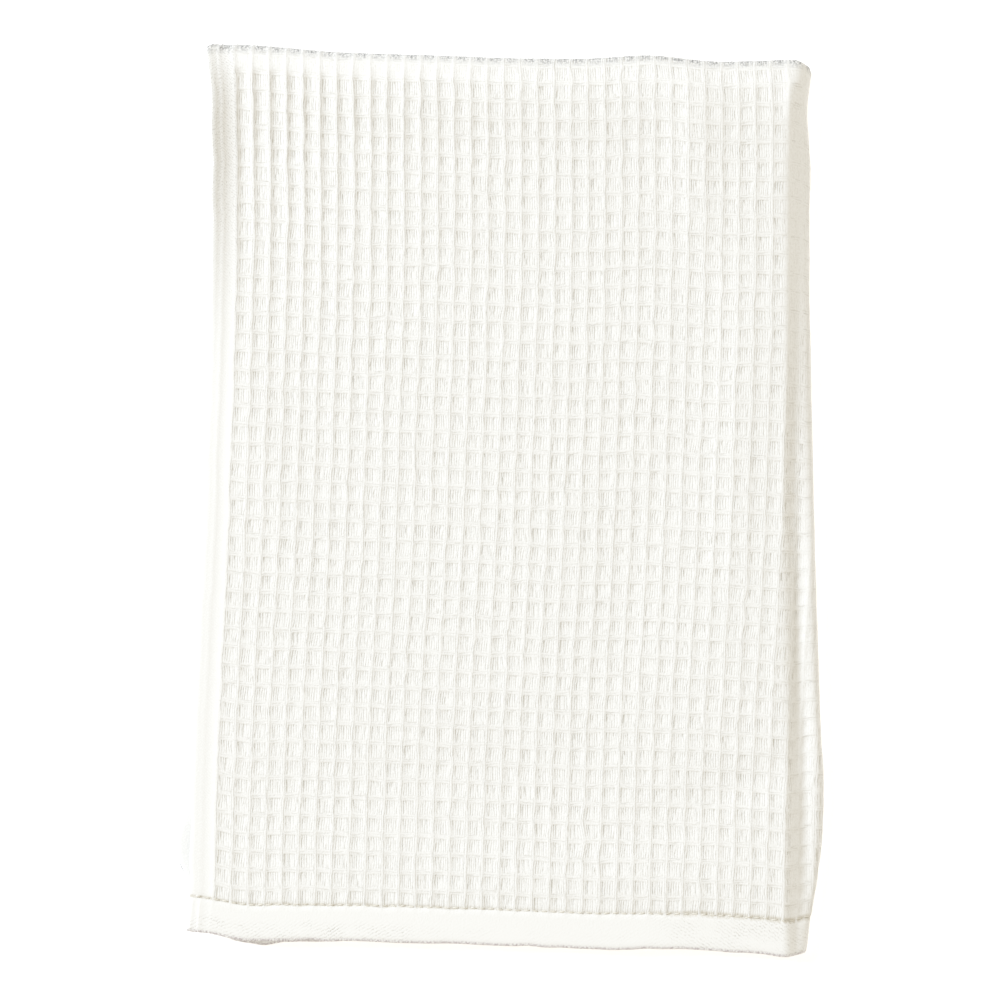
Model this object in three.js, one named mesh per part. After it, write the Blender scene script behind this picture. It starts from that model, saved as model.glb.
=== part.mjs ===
// A cotton waffle-weave dish towel, folded in four and lying flat on a table.
//
// Millimetres, +Z up. The crosswise fold is at +Y and the two hems at -Y. The lengthwise fold is at +X and
// the selvages at -X. The origin is the middle of the footprint, on the table.
//
// The cloth was first folded hem to hem and then in half lengthwise. So an outer pair of half layers, over
// and under, wraps round an inner pair, and the two pairs are one cloth round the crosswise fold.

import * as THREE from "three";

// The cloth and its stack of four layers
const CLOTH_THICKNESS = 2.0; // the waffle from the ribs of one face to the ribs of the other
const LAYER_GAP = 0.6; // air between two layers
const CLOTH_COLOUR = 0xf3f1ea;
const CLOTH_ROUGHNESS = 0.95;

// The hidden edges stop short of the ones that show
const INNER_TUCK = 1.5; // selvages and hems of the inner pair
const UNDER_FOLD_TUCK = 1.5; // crosswise fold of the under layers

// Share of the puff of the top layer that the inner layers follow
const INNER_PUFF = 0.5;

// Sections across the towel, from the crosswise fold to the hems:
//   down      distance from the fold
//   left      selvage of the top layer
//   flare     how far that selvage swings out near the fold
//   lip       how far its edge stands up
//   shoulder  where the outer pair starts to bend down at the lengthwise fold
//   inner     where the inner pair turns
//   right     outermost point of the lengthwise fold
//   under     selvage of the lowest layer, which peeks out near the hems
const SECTIONS = [
  { down: 0, left: -113.8, flare: 2.0, lip: 1.0, shoulder: 118.0, inner: 117.3, right: 124.2, under: -113.8 },
  { down: 14, left: -113.6, flare: 0.3, lip: 2.4, shoulder: 113.8, inner: 112.3, right: 122.3, under: -112.2 },
  { down: 35, left: -113.4, flare: 0, lip: 3.2, shoulder: 111.9, inner: 110.0, right: 123.8, under: -111.8 },
  { down: 75, left: -113.4, flare: 0, lip: 1.4, shoulder: 111.6, inner: 109.6, right: 123.4, under: -111.8 },
  { down: 105, left: -114.0, flare: 0, lip: 0.4, shoulder: 111.6, inner: 109.6, right: 123.8, under: -112.4 },
  { down: 135, left: -114.9, flare: 0, lip: 0, shoulder: 111.6, inner: 109.6, right: 124.2, under: -113.4 },
  { down: 165, left: -115.9, flare: 0, lip: 0, shoulder: 111.4, inner: 109.4, right: 124.8, under: -114.3 },
  { down: 195, left: -116.9, flare: 0, lip: 0, shoulder: 111.4, inner: 109.4, right: 125.6, under: -115.3 },
  { down: 225, left: -118.5, flare: 0, lip: 0, shoulder: 111.6, inner: 109.6, right: 126.5, under: -117.0 },
  { down: 255, left: -120.1, flare: 0, lip: 0, shoulder: 111.8, inner: 109.8, right: 127.4, under: -118.9 },
  { down: 295, left: -121.5, flare: 0, lip: 0, shoulder: 112.0, inner: 110.0, right: 129.0, under: -122.5 },
  { down: 318, left: -122.1, flare: 0, lip: 0, shoulder: 112.0, inner: 110.0, right: 127.2, under: -128.2 },
  { down: 326, left: -122.3, flare: 0, lip: 0, shoulder: 112.0, inner: 110.0, right: 126.0, under: -127.4 },
  { down: 335, left: -122.5, flare: 0, lip: 0, shoulder: 112.2, inner: 110.2, right: 124.4, under: -123.6 },
  { down: 352, left: -123.6, flare: 0, lip: 0, shoulder: 113.0, inner: 111.0, right: 122.3, under: -124.4 },
];
const FLARE_WIDTH = 12.0; // the flare fades over this distance from the selvage
const LIP_WIDTH = 11.0;

// Height of the top layer over its level, which makes a crest behind the crosswise fold, and the angle by
// which the lengthwise fold lifts again past its valley
const PUFF = [
  { down: 0, puff: -1.0, lift: 4 },
  { down: 5, puff: 0.6, lift: 6 },
  { down: 10, puff: 1.6, lift: 8 },
  { down: 16, puff: 1.9, lift: 10 },
  { down: 35, puff: 1.0, lift: 12 },
  { down: 70, puff: 0.2, lift: 16 },
  { down: 110, puff: 0, lift: 28 },
  { down: 160, puff: 0, lift: 44 },
  { down: 210, puff: 0, lift: 47 },
  { down: 300, puff: 0, lift: 44 },
  { down: 352, puff: 0, lift: 26 },
];

// The lengthwise fold: bends of the outer pair past the shoulder, with the angle that each turns down. The
// one with lifts turns up again by the lift of its section. After them a round nose turns back underneath.
const BENDS = [
  { length: 2.2, turn: 38, lifts: 0, steps: 3 },
  { length: 1.8, turn: 2, lifts: 0, steps: 1 },
  { length: 4.0, turn: 0, lifts: 1, steps: 4 },
  { length: 2.5, turn: 8, lifts: 0, steps: 1 },
];

// The wavy crosswise fold seen from above, one row for each bend of its outer line
const FOLD_LINE = [
  { x: -115.7, y: 180.7 },
  { x: -100.7, y: 180.3 },
  { x: -67.2, y: 177.6 },
  { x: -23.7, y: 176.0 },
  { x: 11.9, y: 174.8 },
  { x: 35.6, y: 174.8 },
  { x: 59.3, y: 176.0 },
  { x: 85.0, y: 173.6 },
  { x: 106.7, y: 174.0 },
  { x: 117.0, y: 174.2 },
  { x: 124.2, y: 173.2 },
];

// The hem of the top layer seen from above, one row for each bend, with how far the lowest layer's hem
// peeks out beyond it
const HEM_LINE = [
  { x: -124.4, y: -170.4, peek: 0 },
  { x: -114.6, y: -171.6, peek: 0 },
  { x: -103.5, y: -173.8, peek: 2.4 },
  { x: -79.0, y: -174.0, peek: 2.2 },
  { x: -39.5, y: -174.8, peek: 0 },
  { x: 0, y: -176.0, peek: -1 },
  { x: 39.5, y: -177.6, peek: -1 },
  { x: 79.0, y: -177.9, peek: -1 },
  { x: 102.7, y: -179.5, peek: -1 },
  { x: 116.5, y: -180.7, peek: 0 },
  { x: 122.0, y: -179.5, peek: 0 },
];

// Steps of the facets
const ROW_PLACES = [0, 5, 10, 16, 24, 35, 52, 75, 105, 135, 165, 195, 225, 255, 280, 304, 318, 326, 335, 352];
const EDGE_STEPS = 3;
const OVER_STEPS = 9;
const NOSE_STEPS = 6;
const BACK_STEPS = 8;
const FOLD_STEPS = 6;

// Heights of the middle of each layer over the table
const LAYER_PITCH = CLOTH_THICKNESS + LAYER_GAP;
const HALF_THICKNESS = CLOTH_THICKNESS / 2;
const UNDER_Z = HALF_THICKNESS;
const INNER_UNDER_Z = UNDER_Z + LAYER_PITCH;
const INNER_OVER_Z = UNDER_Z + 2 * LAYER_PITCH;
const OVER_Z = UNDER_Z + 3 * LAYER_PITCH;

const { lerp, clamp, degToRad } = THREE.MathUtils;
const FOLDED_LENGTH = SECTIONS.at(-1).down;

// A smooth curve through one column of a table
function columnCurve(rows, from, to) {
  const positions = rows.map((row) => row[from]);
  const values = rows.map((row) => row[to]);
  const curve = new THREE.CubicInterpolant(positions, values, 1);
  return (at) => curve.evaluate(at)[0];
}

const foldY = columnCurve(FOLD_LINE, "x", "y");
const hemY = columnCurve(HEM_LINE, "x", "y");
const hemPeek = columnCurve(HEM_LINE, "x", "peek");

// All measures of the section at a distance from the crosswise fold
const sectionCurves = [SECTIONS, PUFF].flatMap((table) =>
  Object.keys(table[0]).map((name) => [name, columnCurve(table, "down", name)]),
);
function sectionAt(down) {
  return Object.fromEntries(sectionCurves.map(([name, curve]) => [name, curve(down)]));
}

// A place on a section: its point, how far the cloth has turned there, and how far it has got from the over
// layer (0) to the under layer (1)
function place(x, z, turn, under) {
  return { x, z, turn, under };
}

// Distances from the selvage of the places of an over layer: close together at the lip, then wide apart
function overDistances(length) {
  const distances = [];
  for (let k = 0; k < EDGE_STEPS; k++) distances.push((LIP_WIDTH * k) / EDGE_STEPS);
  for (let k = 0; k <= OVER_STEPS; k++) distances.push(lerp(LIP_WIDTH, length, k / OVER_STEPS));
  return distances;
}

// Where the bends lead after a distance: run along, fall and turn, from level at the shoulder
function bendPath(distance, scale, lift) {
  let run = 0;
  let fall = 0;
  let turn = 0;
  let begun = 0;
  for (const bend of BENDS) {
    const length = bend.length * scale;
    const gone = clamp(distance - begun, 0, length);
    const bendTurn = (degToRad(bend.turn - bend.lifts * lift) * gone) / length;
    const half = bendTurn / 2;
    const chord = Math.abs(half) < 1e-6 ? gone : (gone * Math.sin(half)) / half;
    run += chord * Math.cos(turn + half);
    fall += chord * Math.sin(turn + half);
    turn += bendTurn;
    begun += length;
  }
  return { run, fall, turn };
}

// The outer pair in one section: over the top, the bends, the nose and back underneath
function outerSection({ left, flare, lip, shoulder, right, under, puff, lift }) {
  const top = OVER_Z + puff;
  const places = [];
  for (const distance of overDistances(shoulder - left)) {
    const x = left + distance - flare * Math.exp(-distance / FLARE_WIDTH);
    const z = top + lip * Math.max(0, 1 - distance / LIP_WIDTH) ** 1.5;
    places.push(place(x, z, 0, 0));
  }

  // The bends are scaled so that the nose reaches both the outline and the under layer
  const bendsLength = BENDS.reduce((sum, bend) => sum + bend.length, 0);
  const unit = bendPath(bendsLength, 1, lift);
  const drop = top - UNDER_Z;
  const reach = right - HALF_THICKNESS - shoulder;
  const sin = Math.sin(unit.turn);
  const cos = Math.cos(unit.turn);
  const noseReach = (1 - sin) / (1 + cos);
  const scale = (reach - drop * noseReach) / (unit.run - unit.fall * noseReach);
  const noseRadius = (drop - scale * unit.fall) / (1 + cos);
  const noseX = shoulder + scale * unit.run - noseRadius * sin;
  const noseZ = UNDER_Z + noseRadius;
  const turnLength = scale * bendsLength + noseRadius * (Math.PI - unit.turn);

  let begun = 0;
  for (const bend of BENDS) {
    for (let k = 1; k <= bend.steps; k++) {
      const distance = scale * (begun + (bend.length * k) / bend.steps);
      const { run, fall, turn } = bendPath(distance, scale, lift);
      places.push(place(shoulder + run, top - fall, turn, distance / turnLength));
    }
    begun += bend.length;
  }
  for (let k = 1; k <= NOSE_STEPS; k++) {
    const turn = lerp(unit.turn, Math.PI, k / NOSE_STEPS);
    const distance = scale * bendsLength + noseRadius * (turn - unit.turn);
    const x = noseX + noseRadius * Math.sin(turn);
    const z = noseZ + noseRadius * Math.cos(turn);
    places.push(place(x, z, turn, distance / turnLength));
  }
  for (let k = 1; k <= BACK_STEPS; k++) {
    places.push(place(lerp(noseX, under, k / BACK_STEPS), UNDER_Z, Math.PI, 1));
  }
  return places;
}

// The inner pair in one section, matched to the places of the outer pair: over, a tight turn, and back
function innerSection({ left, inner, under, shoulder, puff }, outer) {
  const overZ = INNER_OVER_Z + INNER_PUFF * puff;
  const underZ = INNER_UNDER_Z + INNER_PUFF * puff;
  const turnRadius = (overZ - underZ) / 2;
  const places = [];
  for (const distance of overDistances(shoulder - left)) {
    const share = distance / (shoulder - left);
    places.push(place(lerp(left + INNER_TUCK, inner, share), overZ, 0, 0));
  }
  for (const spot of outer.slice(places.length, -BACK_STEPS)) {
    const turn = Math.PI * spot.under;
    const x = inner + turnRadius * Math.sin(turn);
    const z = underZ + turnRadius * (1 + Math.cos(turn));
    places.push(place(x, z, turn, spot.under));
  }
  const innerEdge = Math.max(left, under) + INNER_TUCK;
  for (let k = 1; k <= BACK_STEPS; k++) {
    places.push(place(lerp(inner, innerEdge, k / BACK_STEPS), underZ, Math.PI, 1));
  }
  return places;
}

// The way that the cloth's face looks at a place of a section
function faceAt({ turn }) {
  return new THREE.Vector3(Math.sin(turn), 0, Math.cos(turn));
}

// The crosswise fold from one place of the outer pair to its neighbour of the inner pair: half an ellipse
// that stands out along +Y
function foldBetween(outer, inner) {
  const middle = new THREE.Vector3((outer.x + inner.x) / 2, 0, (outer.z + inner.z) / 2);
  const arm = new THREE.Vector3((outer.x - inner.x) / 2, 0, (outer.z - inner.z) / 2);
  const armLength = arm.length();
  const reach = Math.min(armLength, Math.sqrt(CLOTH_THICKNESS * armLength));
  return { middle, arm, armLength, reach };
}

// Rows of the cloth's middle surface, from the hem of the outer pair over the crosswise fold to the hem of
// the inner pair. A spot holds its point and the way that the cloth's face looks there.
function clothRows() {
  const sections = ROW_PLACES.map(sectionAt);
  const outer = sections.map(outerSection);
  const inner = sections.map((section, j) => innerSection(section, outer[j]));
  const folds = outer[0].map((spot, i) => foldBetween(spot, inner[0][i]));

  const startY = (spot, i) =>
    foldY(spot.x) - UNDER_FOLD_TUCK * spot.under - folds[i].reach - HALF_THICKNESS;
  const layerRow = (places, down, endY, side) =>
    places.map((spot, i) => ({
      point: new THREE.Vector3(spot.x, lerp(startY(outer[0][i], i), endY(spot), down / FOLDED_LENGTH), spot.z),
      face: faceAt(spot).multiplyScalar(side),
    }));
  const outerEnd = (spot) => hemY(spot.x) - hemPeek(spot.x) * spot.under;
  const innerEnd = (spot) => hemY(spot.x) + INNER_TUCK;

  const rows = [];
  for (let j = ROW_PLACES.length - 1; j >= 0; j--) {
    rows.push(layerRow(outer[j], ROW_PLACES[j], outerEnd, 1));
  }
  for (let k = 1; k < FOLD_STEPS; k++) {
    const angle = (Math.PI * k) / FOLD_STEPS;
    const cos = Math.cos(angle);
    const sin = Math.sin(angle);
    rows.push(
      folds.map(({ middle, arm, armLength, reach }, i) => {
        const point = middle.clone().addScaledVector(arm, cos);
        point.y = startY(outer[0][i], i) + reach * sin;
        const face = faceAt(outer[0][i]).lerp(faceAt(inner[0][i]), k / FOLD_STEPS);
        face.multiplyScalar(cos / armLength).setY(sin / reach);
        return { point, face: face.normalize() };
      }),
    );
  }
  for (let j = 0; j < ROW_PLACES.length; j++) {
    rows.push(layerRow(inner[j], ROW_PLACES[j], innerEnd, -1));
  }
  return rows;
}

// The closed sheet: the face and the back of the cloth, half a thickness either side of its middle surface,
// and the cut edge all round
function towelGeometry() {
  const rows = clothRows();
  const across = rows[0].length;
  const count = rows.length * across;
  const positions = [];
  for (const side of [HALF_THICKNESS, -HALF_THICKNESS]) {
    for (const { point, face } of rows.flat()) {
      positions.push(...point.clone().addScaledVector(face, side).toArray());
    }
  }

  const triangles = [];
  const quad = (a, b, c, d) => triangles.push(a, b, c, a, c, d);
  const at = (j, i) => j * across + i;
  for (let j = 0; j < rows.length - 1; j++) {
    for (let i = 0; i < across - 1; i++) {
      const corners = [at(j, i), at(j, i + 1), at(j + 1, i + 1), at(j + 1, i)];
      quad(...corners);
      quad(...corners.map((corner) => corner + count).reverse());
    }
  }

  const rim = [];
  for (let i = 0; i < across - 1; i++) rim.push(at(0, i));
  for (let j = 0; j < rows.length - 1; j++) rim.push(at(j, across - 1));
  for (let i = across - 1; i > 0; i--) rim.push(at(rows.length - 1, i));
  for (let j = rows.length - 1; j > 0; j--) rim.push(at(j, 0));
  rim.forEach((corner, k) => {
    const next = rim[(k + 1) % rim.length];
    quad(corner, corner + count, next + count, next);
  });

  const geometry = new THREE.BufferGeometry();
  geometry.setAttribute("position", new THREE.Float32BufferAttribute(positions, 3));
  geometry.setIndex(triangles);
  return geometry;
}

// The towel, with the middle of its footprint at the origin
function makeTowel() {
  const geometry = towelGeometry();
  geometry.computeBoundingBox();
  const middle = geometry.boundingBox.getCenter(new THREE.Vector3());
  geometry.translate(-middle.x, -middle.y, 0);
  geometry.computeVertexNormals();
  const material = new THREE.MeshStandardMaterial({ color: CLOTH_COLOUR, roughness: CLOTH_ROUGHNESS });
  const towel = new THREE.Mesh(geometry, material);
  towel.name = "towel";
  return towel;
}

const foldedTowel = new THREE.Group();
foldedTowel.add(makeTowel());

export default foldedTowel;
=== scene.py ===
# %% [markdown]
# # A waffle-weave dish towel, folded in four
#
# The real towel is one rectangle of white cotton. Its middle is woven as a waffle: raised ribs round small
# hollow cells. Along its long sides run flat woven selvages, and its short ends are turned and sewn as
# smooth hems. It has been folded hem to hem, then once lengthwise, and lies flat. This script lays the
# towel out flat as a thin closed sheet, gives it its ribs, and then folds every point of it along the folds
# of the CAD solid. Shapes are in millimetres until the sheet and its stitches are scaled to metres. The
# finishes, the lights and the camera are in metres.

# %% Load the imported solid
import math

import bmesh
import bpy
import numpy as np
from mathutils import Matrix, Vector


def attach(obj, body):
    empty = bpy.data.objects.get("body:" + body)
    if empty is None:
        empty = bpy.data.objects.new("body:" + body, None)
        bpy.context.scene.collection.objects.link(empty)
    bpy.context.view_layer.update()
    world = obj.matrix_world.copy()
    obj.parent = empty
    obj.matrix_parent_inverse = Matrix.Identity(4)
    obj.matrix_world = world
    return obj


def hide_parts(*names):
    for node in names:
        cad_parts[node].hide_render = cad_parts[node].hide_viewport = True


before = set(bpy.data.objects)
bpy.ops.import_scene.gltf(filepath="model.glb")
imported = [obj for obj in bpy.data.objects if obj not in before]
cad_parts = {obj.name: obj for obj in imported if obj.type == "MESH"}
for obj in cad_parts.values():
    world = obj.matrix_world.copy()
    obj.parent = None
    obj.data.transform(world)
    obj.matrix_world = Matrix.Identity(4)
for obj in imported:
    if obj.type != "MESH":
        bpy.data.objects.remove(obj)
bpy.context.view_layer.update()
MM = 0.001

# %% [markdown]
# ## The flat cloth
#
# A waffle is easiest to think of as squared paper: columns across, rows along. The towel's flat size
# follows from the number of cells, their pitch, and the widths of the plain selvages and hems. "across"
# runs over the width, from the selvage of the top layer to that of the lowest layer. "along" runs over the
# length, from the hem of the outer layers, over the crosswise fold, to the hem of the inner layers.

# %% Sizes of the flat cloth
COLUMN_PITCH = 6.6
ROW_PITCH = 7.32
COLUMNS = 70
ROWS = 93
SELVAGE = 9.9
HEM = 14.0
FLAT_WIDTH = 2 * SELVAGE + COLUMNS * COLUMN_PITCH
FLAT_LENGTH = 2 * HEM + ROWS * ROW_PITCH
THICKNESS = 2.0
HALF = THICKNESS / 2
print(f"flat cloth: {FLAT_WIDTH:.0f} by {FLAT_LENGTH:.0f} mm, {COLUMNS} by {ROWS} cells")

# %% [markdown]
# ## The folds
#
# The towel doesn't lie like sheets of paper: its outline wanders, it puffs up at the crosswise fold, and at
# the lengthwise fold the outer layers run on past the tightly folded inner ones and turn in a soft nose.
# Short tables hold these shapes, read from the photograph, a row for each section or bend, and smooth
# curves run through their columns. They are the same tables that shaped the solid.

# %% Tables of the outline
LAYER_GAP = 0.6
INNER_TUCK = 1.5
UNDER_FOLD_TUCK = 1.5
INNER_PUFF = 0.5

SECTIONS = [
    dict(down=0, left=-113.8, flare=2.0, lip=1.0, shoulder=118.0, inner=117.3, right=124.2, under=-113.8),
    dict(down=14, left=-113.6, flare=0.3, lip=2.4, shoulder=113.8, inner=112.3, right=122.3, under=-112.2),
    dict(down=35, left=-113.4, flare=0, lip=3.2, shoulder=111.9, inner=110.0, right=123.8, under=-111.8),
    dict(down=75, left=-113.4, flare=0, lip=1.4, shoulder=111.6, inner=109.6, right=123.4, under=-111.8),
    dict(down=105, left=-114.0, flare=0, lip=0.4, shoulder=111.6, inner=109.6, right=123.8, under=-112.4),
    dict(down=135, left=-114.9, flare=0, lip=0, shoulder=111.6, inner=109.6, right=124.2, under=-113.4),
    dict(down=165, left=-115.9, flare=0, lip=0, shoulder=111.4, inner=109.4, right=124.8, under=-114.3),
    dict(down=195, left=-116.9, flare=0, lip=0, shoulder=111.4, inner=109.4, right=125.6, under=-115.3),
    dict(down=225, left=-118.5, flare=0, lip=0, shoulder=111.6, inner=109.6, right=126.5, under=-117.0),
    dict(down=255, left=-120.1, flare=0, lip=0, shoulder=111.8, inner=109.8, right=127.4, under=-118.9),
    dict(down=295, left=-121.5, flare=0, lip=0, shoulder=112.0, inner=110.0, right=129.0, under=-122.5),
    dict(down=318, left=-122.1, flare=0, lip=0, shoulder=112.0, inner=110.0, right=127.2, under=-128.2),
    dict(down=326, left=-122.3, flare=0, lip=0, shoulder=112.0, inner=110.0, right=126.0, under=-127.4),
    dict(down=335, left=-122.5, flare=0, lip=0, shoulder=112.2, inner=110.2, right=124.4, under=-123.6),
    dict(down=352, left=-123.6, flare=0, lip=0, shoulder=113.0, inner=111.0, right=122.3, under=-124.4),
]
PUFF = [
    dict(down=0, puff=-1.0, lift=4),
    dict(down=5, puff=0.6, lift=6),
    dict(down=10, puff=1.6, lift=8),
    dict(down=16, puff=1.9, lift=10),
    dict(down=35, puff=1.0, lift=12),
    dict(down=70, puff=0.2, lift=16),
    dict(down=110, puff=0, lift=28),
    dict(down=160, puff=0, lift=44),
    dict(down=210, puff=0, lift=47),
    dict(down=300, puff=0, lift=44),
    dict(down=352, puff=0, lift=26),
]
FOLD_LINE = [
    dict(x=-115.7, y=180.7),
    dict(x=-100.7, y=180.3),
    dict(x=-67.2, y=177.6),
    dict(x=-23.7, y=176.0),
    dict(x=11.9, y=174.8),
    dict(x=35.6, y=174.8),
    dict(x=59.3, y=176.0),
    dict(x=85.0, y=173.6),
    dict(x=106.7, y=174.0),
    dict(x=117.0, y=174.2),
    dict(x=124.2, y=173.2),
]
HEM_LINE = [
    dict(x=-124.4, y=-170.4, peek=0),
    dict(x=-114.6, y=-171.6, peek=0),
    dict(x=-103.5, y=-173.8, peek=2.4),
    dict(x=-79.0, y=-174.0, peek=2.2),
    dict(x=-39.5, y=-174.8, peek=0),
    dict(x=0, y=-176.0, peek=-1),
    dict(x=39.5, y=-177.6, peek=-1),
    dict(x=79.0, y=-177.9, peek=-1),
    dict(x=102.7, y=-179.5, peek=-1),
    dict(x=116.5, y=-180.7, peek=0),
    dict(x=122.0, y=-179.5, peek=0),
]
FOLDED_LENGTH = SECTIONS[-1]["down"]


def column_curve(rows, at, to):
    """A smooth curve through one column of a table, as a function of another column."""
    knots = np.array([row[at] for row in rows], float)
    values = np.array([row[to] for row in rows], float)
    slopes = np.gradient(values, knots)

    def curve(place):
        place = np.clip(place, knots[0], knots[-1])
        k = np.clip(np.searchsorted(knots, place) - 1, 0, len(knots) - 2)
        step = knots[k + 1] - knots[k]
        t = (place - knots[k]) / step
        rise = values[k + 1] - values[k]
        start = slopes[k] * step
        end = slopes[k + 1] * step
        return values[k] + t * start + t**2 * (3 * rise - 2 * start - end) + t**3 * (start + end - 2 * rise)

    return curve


left_at, flare_at, lip_at, shoulder_at, inner_at, right_at, under_at = (
    column_curve(SECTIONS, "down", name)
    for name in ("left", "flare", "lip", "shoulder", "inner", "right", "under")
)
puff_at = column_curve(PUFF, "down", "puff")
lift_at = column_curve(PUFF, "down", "lift")
fold_y = column_curve(FOLD_LINE, "x", "y")
hem_y = column_curve(HEM_LINE, "x", "y")
hem_peek = column_curve(HEM_LINE, "x", "peek")
print("outline tables:", len(SECTIONS), "sections,", len(FOLD_LINE) + len(HEM_LINE), "bends of its ends")

# %% [markdown]
# ## Creases
#
# Handling has left soft ridges and troughs in the top layer, no higher than a millimetre or so. Each row of
# this table is one of them: its middle, the way it runs (degrees from +X), half its length, half its width
# and its height, negative for a trough. The layers under it follow more weakly the lower they lie.

# %% Table of soft ridges and troughs
CREASES = [
    dict(x=78, y=140, runs=93, length=36, width=9, height=0.9),
    dict(x=94, y=25, runs=88, length=75, width=9, height=0.7),
    dict(x=96, y=-112, runs=20, length=28, width=9, height=-0.8),
    dict(x=60, y=-150, runs=-3, length=80, width=12, height=0.9),
    dict(x=48, y=-45, runs=80, length=50, width=16, height=-0.5),
    dict(x=-96, y=30, runs=100, length=45, width=12, height=0.5),
    dict(x=-10, y=-110, runs=5, length=110, width=16, height=-0.4),
    dict(x=-30, y=140, runs=0, length=90, width=14, height=-0.3),
]
CREASE_SHARE = dict(over=1.0, inner_over=0.85, inner_under=0.4, under=0.0)
CREASE_FADE = 1.6


def crease_height(x, y):
    """Height of all soft ridges and troughs at places of the top layer."""
    height = np.zeros_like(x)
    for crease in CREASES:
        turn = math.radians(crease["runs"])
        dx = x - crease["x"]
        dy = y - crease["y"]
        along = (dx * math.cos(turn) + dy * math.sin(turn)) / crease["length"]
        aside = (dy * math.cos(turn) - dx * math.sin(turn)) / crease["width"]
        height += crease["height"] * np.exp(-(along**2) - aside**2)
    return height


print("creases:", len(CREASES))

# %% [markdown]
# ## Sections of the folded stack
#
# Cut across, the outer layers are one hairpin round another, the inner layers. The outer one goes over the
# top, bends down past the shoulder, lifts a little again, turns back in a round nose and lies flat
# underneath. A table gives the bends, and their length is scaled so that the nose just reaches the outline.

# %% Hairpin sections
BENDS = [
    dict(length=2.2, turn=38, lifts=0),
    dict(length=1.8, turn=2, lifts=0),
    dict(length=4.0, turn=0, lifts=1),
    dict(length=2.5, turn=8, lifts=0),
]
BENDS_LENGTH = sum(bend["length"] for bend in BENDS)
LAYER_PITCH = THICKNESS + LAYER_GAP
UNDER_Z = HALF
INNER_UNDER_Z = UNDER_Z + LAYER_PITCH
INNER_OVER_Z = UNDER_Z + 2 * LAYER_PITCH
OVER_Z = UNDER_Z + 3 * LAYER_PITCH
FLARE_WIDTH = 12.0
LIP_WIDTH = 11.0
LIP_SHARPNESS = 1.5


def bend_path(distance, scale, lift):
    """Where the bends lead after a distance: run along, fall and turn, from level at the shoulder."""
    run = np.zeros_like(distance)
    fall = np.zeros_like(distance)
    turn = np.zeros_like(distance)
    begun = 0.0
    for bend in BENDS:
        length = bend["length"] * scale
        gone = np.clip(distance - begun, 0, length)
        bend_turn = np.radians(bend["turn"] - bend["lifts"] * lift) * gone / length
        chord = gone * np.sinc(bend_turn / (2 * math.pi))
        run = run + chord * np.cos(turn + bend_turn / 2)
        fall = fall + chord * np.sin(turn + bend_turn / 2)
        turn = turn + bend_turn
        begun = begun + length
    return run, fall, turn


def outer_section(across, down):
    """Places of the outer layers: x, z, turn, share of the way round the turn and share of the back."""
    left, right, under = left_at(down), right_at(down), under_at(down)
    shoulder, lift = shoulder_at(down), lift_at(down)
    top = OVER_Z + puff_at(down)
    drop = top - UNDER_Z
    reach = right - HALF - shoulder
    one = np.ones_like(down)
    unit_run, unit_fall, bends_turn = bend_path(BENDS_LENGTH * one, one, lift)
    nose_share = (1 - np.sin(bends_turn)) / (1 + np.cos(bends_turn))
    scale = (reach - drop * nose_share) / (unit_run - unit_fall * nose_share)
    radius = (drop - scale * unit_fall) / (1 + np.cos(bends_turn))
    nose_x = shoulder + scale * unit_run - radius * np.sin(bends_turn)
    over_length = shoulder - left
    bends_length = scale * BENDS_LENGTH
    turn_length = bends_length + radius * (math.pi - bends_turn)

    past = across - over_length
    run, fall, turn = bend_path(np.clip(past, 0, bends_length), scale, lift)
    edge = np.exp(-across / FLARE_WIDTH)
    x = np.where(past < 0, left + across - flare_at(down) * edge, shoulder + run)
    z = top - fall + lip_at(down) * np.clip(1 - across / LIP_WIDTH, 0, 1) ** LIP_SHARPNESS
    nose_turn = bends_turn + np.clip(past - bends_length, 0, turn_length - bends_length) / radius
    on_nose = past > bends_length
    x = np.where(on_nose, nose_x + radius * np.sin(nose_turn), x)
    z = np.where(on_nose, UNDER_Z + radius * (1 + np.cos(nose_turn)), z)
    turn = np.where(on_nose, nose_turn, turn)
    back = np.clip((past - turn_length) / (FLAT_WIDTH - over_length - turn_length), 0, None)
    on_back = past > turn_length
    x = np.where(on_back, nose_x + (under - nose_x) * back, x)
    z = np.where(on_back, UNDER_Z, z)
    lowness = np.clip(past / turn_length, 0, 1)
    return x, z, turn, lowness, back


def inner_section(across, down):
    """Places of the inner layers, which turn tightly inside the outer ones, matched to their places."""
    left, under, shoulder = left_at(down), under_at(down), inner_at(down)
    over_z = INNER_OVER_Z + INNER_PUFF * puff_at(down)
    under_z = INNER_UNDER_Z + INNER_PUFF * puff_at(down)
    radius = (over_z - under_z) / 2
    over_length = shoulder_at(down) - left
    lowness, back = outer_section(across, down)[3:]
    ahead = np.clip(across / over_length, 0, 1)
    start = left + INNER_TUCK
    end = np.maximum(left, under) + INNER_TUCK
    turn = math.pi * lowness
    x = start + (shoulder - start) * ahead + radius * np.sin(turn)
    x = np.where(lowness < 1, x, shoulder + (end - shoulder) * back)
    z = under_z + radius * (1 + np.cos(turn))
    return x, z, turn, lowness


print(f"stack: top layer's middle {OVER_Z:.1f} mm up, {len(BENDS)} bends past the shoulder")

# %% [markdown]
# ## Folding a point
#
# Every point of the flat cloth has a place across, a place along and a height off the cloth's middle. The
# outer layers take the first half of the length, the inner ones the last, and between them the crosswise
# fold is half an ellipse from an outer place to its inner neighbour.

# %% Fold the flat cloth
FOLD_ARC = 5.8
RUN_LENGTH = (FLAT_LENGTH - FOLD_ARC) / 2


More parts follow.
